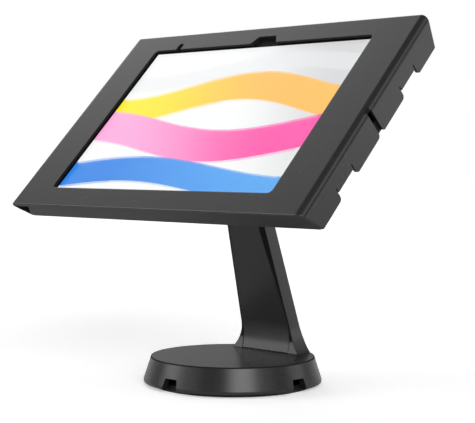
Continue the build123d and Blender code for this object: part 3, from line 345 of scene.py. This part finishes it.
def stand_painted_shade(t):
    """Painted shade: the base's hollow inside, a line along its top edge, the neck's lips beside the
    neck cover.
    """
    x, y, z = t.split(t.place())
    radius = t.math("SQRT", t.math("ADD", t.math("POWER", x, 2.0), t.math("POWER", y, 2.0)))
    # Painted shade in the base's hollow inside, within the flank and below the base's top
    rise = t.math("MAXIMUM", t.math("SUBTRACT", z, RIM_TOP), 0.0)
    flank = t.math("MULTIPLY", rise, FLANK_SLOPE)
    flank = t.math("SUBTRACT", RIM_RADIUS - FLANK_SKIN, flank)
    inside = t.math("LESS_THAN", radius, flank)
    inside = t.math("MULTIPLY", inside, t.math("LESS_THAN", z, BASE_UNDER_TOP))
    # Painted shade: a dark line along the base's top edge
    beside_edge = t.math("ABSOLUTE", t.math("SUBTRACT", radius, TOP_EDGE_RADIUS))
    over_edge = t.math("ABSOLUTE", t.math("SUBTRACT", z, TOP_EDGE_HEIGHT))
    off_edge = t.math("ADD", beside_edge, over_edge)
    top_edge_shade = t.smooth(off_edge, TOP_SHADE_WIDTH, 0.5 * TOP_SHADE_WIDTH)
    # Painted shade on the neck's lips: faces turned to the front beside the neck cover, between the
    # foot and the cover's top
    faces = t.split(t.add("ShaderNodeNewGeometry").outputs["Normal"])
    lips = t.math("LESS_THAN", faces[1], LIP_FACING)
    lips = t.math("MULTIPLY", lips, t.math("GREATER_THAN", z, NECK_FOOT))
    lips = t.math("MULTIPLY", lips, t.math("LESS_THAN", z, NECK_COVER_TOP))
    return t.math("MAXIMUM", t.math("MAXIMUM", inside, top_edge_shade), lips)


def display_material():
    """A lit display with soft wavy bands of colour on a white ground."""
    made, t = material("display_picture")
    across, up, _ = panel_place(t)

    def band(base, swing, length, phase, half):
        wave = t.math("SINE", t.math("MULTIPLY_ADD", across, 2.0 * math.pi / length, phase))
        middle = t.math("MULTIPLY_ADD", wave, swing, base)
        apart = t.math("ABSOLUTE", t.math("SUBTRACT", up, middle))
        return t.smooth(apart, half + PRINT_SOFTNESS, half - PRINT_SOFTNESS)

    slant = t.math("ADD", across, t.math("MULTIPLY", up, SLANT))
    picture = t.mix(t.smooth(slant, 0.02, 0.13), GROUND_WHITE, GROUND_SHADED)
    pale = band(base=0.052, swing=0.010, length=0.30, phase=0.6, half=0.009)
    picture = t.mix(t.math("MULTIPLY", pale, 0.5), picture, PALE_GREY)
    upper = band(base=0.022, swing=0.013, length=0.26, phase=1.1, half=0.0155)
    picture = t.mix(upper, picture, t.mix(t.smooth(slant, -0.10, 0.07), YELLOW, ORANGE))
    middle = band(base=-0.018, swing=0.012, length=0.30, phase=4.2, half=0.0165)
    picture = t.mix(middle, picture, t.mix(t.smooth(slant, -0.10, 0.06), PALE_PINK, DEEP_PINK))
    lower = band(base=-0.064, swing=0.010, length=0.34, phase=2.4, half=0.0130)
    picture = t.mix(lower, picture, t.mix(t.smooth(slant, -0.12, 0.06), DEEP_BLUE, PALE_BLUE))

    grain = t.noise(t.place(), scale=2600.0, detail=1.0, rough=0.5)
    lit = t.scaled(picture, t.vary(grain, 0.985, 1.0))
    unlit = t.scaled(picture, t.vary(grain, 0.02, 0.03))
    shader = t.surface(unlit, t.vary(grain, 0.25, 0.32), Emission_Color=lit)
    shader.inputs["Emission Strength"].default_value = 1.0
    t.finish(shader)
    return made


def glass_material():
    """Clear glass over the display, with the black border printed on its back."""
    made, t = material("cover_glass_clear")
    across, up, _ = panel_place(t)
    where = t.place()

    def past(distance, edge):
        return t.smooth(t.math("ABSOLUTE", distance), edge, edge + PRINT_SOFTNESS)

    outside = t.math("MAXIMUM", past(across, GLASS_CLEAR_ACROSS), past(up, GLASS_CLEAR_UP))
    smudge = t.noise(where, scale=45.0, detail=4.0, rough=0.6)
    fine = t.noise(where, scale=700.0, detail=2.0, rough=0.5)
    smeared = t.spread(smudge, 0.35, 0.7, 0.03, 0.10)
    roughness = t.math("ADD", smeared, t.vary(fine, 0.0, 0.02))
    clear = t.add("ShaderNodeBsdfTransparent", Color=GLASS_TINT)
    gloss = t.add("ShaderNodeBsdfGlossy", Roughness=roughness)
    fresnel = t.add("ShaderNodeFresnel", IOR=GLASS_IOR)
    mirror = t.math("MULTIPLY", fresnel.outputs[0], GLASS_GLOSS)
    pane = t.add("ShaderNodeMixShader", i0=mirror, i1=clear, i2=gloss)
    black = t.mix(t.smooth(fine, 0.3, 0.8), BORDER_DARK, BORDER_LIGHT)
    border = t.surface(black, t.vary(fine, 0.5, 0.6))
    border.inputs["Specular IOR Level"].default_value = 0.1
    t.finish(t.add("ShaderNodeMixShader", i0=outside, i1=pane, i2=border))
    return made


def board_material():
    """Circuit board: green lacquer, copper tracks and dark chips."""
    made, t = material("circuit_board_green")
    where = t.place()
    kind = "ShaderNodeTexVoronoi"
    tracks = t.add(kind, {"feature": "DISTANCE_TO_EDGE"}, Vector=where, Scale=260.0).outputs[0]
    chips = t.add(kind, {"distance": "CHEBYCHEV"}, Vector=where, Scale=90.0).outputs[0]
    cloud = t.noise(where, scale=120.0, detail=3.0, rough=0.6)
    lacquer, pale_lacquer = (0.015, 0.12, 0.05), (0.03, 0.2, 0.09)
    copper, chip_black = (0.45, 0.32, 0.12), (0.012, 0.012, 0.013)
    body = t.mix(t.smooth(cloud, NOISE_LOW, NOISE_HIGH), lacquer, pale_lacquer)
    body = t.mix(t.smooth(tracks, 0.05, 0.02), body, copper)
    body = t.mix(t.smooth(chips, 0.30, 0.28), body, chip_black)
    raised = t.smooth(chips, 0.32, 0.28)
    bump = t.add("ShaderNodeBump", Strength=0.4, Distance=CHIP_DEPTH, Height=raised)
    t.finish(t.surface(body, t.vary(cloud, 0.35, 0.55), Normal=bump))
    return made


looks = {
    # The stand body gets painted shade as faint dark lines along its edges, and in its hollow, along
    # the base's top edge and on the neck's lips
    "coat": coat("coat_dark_grey", line=0.35, painted_shade_mask=stand_painted_shade),
    # The neck cover gets painted shade as full-strength dark lines along its edges, for the gap
    # round it
    "coat_neck": coat("coat_neck", line=1.0),
    # The front frame gets painted shade on its cut edges in the window and the middle slots
    "coat_frame": coat("coat_frame", painted_shade_mask=frame_cut_edge_shade),
    "coat_tray": coat("coat_tray", rough=0.40, wear=0.25),
    # Painted shade: near-black for the catches behind the middle slots and the base plate inside the
    # base, so that the slots and the base's hollow read as shaded
    "painted_shade_black": coat("painted_shade_black", (0.006, 0.006, 0.006), 0.55, specular=0.2),
    "black_steel": metal("steel_blackened", (0.10, 0.10, 0.105), 0.34),
    "zinc": metal("steel_zinc", (0.62, 0.63, 0.65), 0.30, tarnish=0.3),
    "lock": metal("lock_nickel", (0.72, 0.71, 0.70), 0.16, grain=0.02, tarnish=0.15),
    "aluminium": metal("aluminium_blasted", (0.66, 0.67, 0.69), 0.36, grain=0.08, tarnish=0.06),
    "rubber": dull("rubber_black", (0.022, 0.022, 0.022), 0.82, dust=0.08),
    "foam": dull("foam_black", (0.012, 0.012, 0.012), 0.92, grain=0.7, scale=1400.0),
    "bearing": dull("bearing_plastic", (0.55, 0.55, 0.53), 0.5, grain=0.08, uneven=0.06),
    "wrap": dull("battery_wrap", (0.03, 0.03, 0.033), 0.5, grain=0.1, scale=300.0),
    "lens": dull("lens_black", (0.004, 0.004, 0.005), 0.12, grain=0.01, scale=300.0),
    "board": board_material(),
    "glass": glass_material(),
    "display": display_material(),
}

wearers = {
    "coat": ["stand_body"],
    "coat_neck": ["neck_cover"],
    "coat_frame": ["front_frame"],
    "coat_tray": ["tilt_bracket", "rear_tray", "turn_plate"],
    # Near-black as painted shade
    "painted_shade_black": ["base_plate", "frame_catches"],
    "black_steel": ["neck_cover_screws", "tilt_bolt", "tilt_nut", "tilt_washers"],
    "zinc": [
        "base_screws", "turn_stop_pin", "turn_washer", "turn_nut", "turn_screws", "lock_nuts",
        "tablet_brackets", "bracket_studs", "bracket_nuts",
        "left_lock_cam", "left_cam_screw", "right_lock_cam", "right_cam_screw",
    ],
    "lock": ["lock_housings", "left_lock_plug", "right_lock_plug"],
    "aluminium": ["tablet_shell", "power_button", "volume_up_button", "volume_down_button"],
    "rubber": ["base_pad"],
    "foam": ["tray_pads", "front_gasket"],
    "bearing": ["friction_washers", "turn_friction_ring"],
    "wrap": ["tablet_battery"],
    "lens": ["tablet_camera"],
    "board": ["tablet_board"],
    "glass": ["tablet_glass"],
    "display": ["tablet_display"],
}
for look, names in wearers.items():
    for name in names:
        for slot in nodes[name].material_slots:
            slot.material = looks[look]


# Floor and world

def add_floor():
    mesh = bmesh.new()
    bmesh.ops.create_grid(mesh, x_segments=2, y_segments=2, size=FLOOR_HALF_SIZE)
    data = bpy.data.meshes.new("floor")
    mesh.to_mesh(data)
    mesh.free()
    floor = bpy.data.objects.new("floor", data)
    bpy.context.scene.collection.objects.link(floor)
    made, t = material("floor_white")
    path = t.add("ShaderNodeLightPath").outputs
    seen = t.math("MAXIMUM", path["Is Camera Ray"], path["Is Transmission Ray"])
    plain = t.add("ShaderNodeBsdfDiffuse", Color=FLOOR_PAINT)
    strength = t.math("MULTIPLY", seen, FLOOR_GLOW)
    glow = t.add("ShaderNodeEmission", Color=WHITE_LIGHT, Strength=strength)
    t.finish(t.add("ShaderNodeAddShader", i0=plain, i1=glow))
    data.materials.append(made)


def add_world():
    """White studio: bright near the horizon, dimmer above, with soft boxes of light."""
    world = bpy.data.worlds.new("studio")
    bpy.context.scene.world = world
    world.use_nodes = True
    t = Tree(world.node_tree)
    way = t.add("ShaderNodeTexCoord").outputs["Generated"]
    height = t.split(way)[2]
    level = t.smooth(height, HORIZON_HEIGHT, CEILING_HEIGHT, HORIZON_LEVEL, CEILING_LEVEL)

    def soft_box(level, azimuth, elevation, strength, core=BOX_CORE, reach=BOX_REACH):
        """Adds light round one direction. Azimuth 0 is the side that the screen faces."""
        a, e = math.radians(azimuth), math.radians(elevation)
        towards = (math.sin(a) * math.cos(e), -math.cos(a) * math.cos(e), math.sin(e))
        near = t.vector("DOT_PRODUCT", way, towards)
        lobe = t.smooth(near, math.cos(math.radians(reach)), math.cos(math.radians(core)))
        return t.math("MULTIPLY_ADD", lobe, strength, level)

    level = soft_box(level, azimuth=-120.0, elevation=36.0, strength=2.0)
    level = soft_box(level, azimuth=-100.0, elevation=44.0, strength=0.8)
    level = soft_box(level, azimuth=-50.0, elevation=25.0, strength=3.7)
    level = soft_box(level, azimuth=-42.0, elevation=3.0, strength=3.8, core=2.0, reach=12.0)
    level = soft_box(level, azimuth=-20.0, elevation=20.0, strength=1.0)
    level = soft_box(level, azimuth=56.0, elevation=26.0, strength=7.0)
    level = soft_box(level, azimuth=98.0, elevation=42.0, strength=1.8, reach=18.0)
    level = soft_box(level, azimuth=82.0, elevation=25.0, strength=0.6, reach=20.0)
    level = soft_box(level, azimuth=137.0, elevation=6.0, strength=1.2)
    level = soft_box(level, azimuth=145.0, elevation=27.0, strength=0.8)
    camera_ray = t.add("ShaderNodeLightPath").outputs["Is Camera Ray"]
    level = t.math("MAXIMUM", level, camera_ray)
    background = t.add("ShaderNodeBackground", Color=WHITE_LIGHT, Strength=level)
    t.add("ShaderNodeOutputWorld", Surface=background.outputs[0])


add_floor()
add_world()
bpy.context.scene.view_settings.view_transform = "Standard"
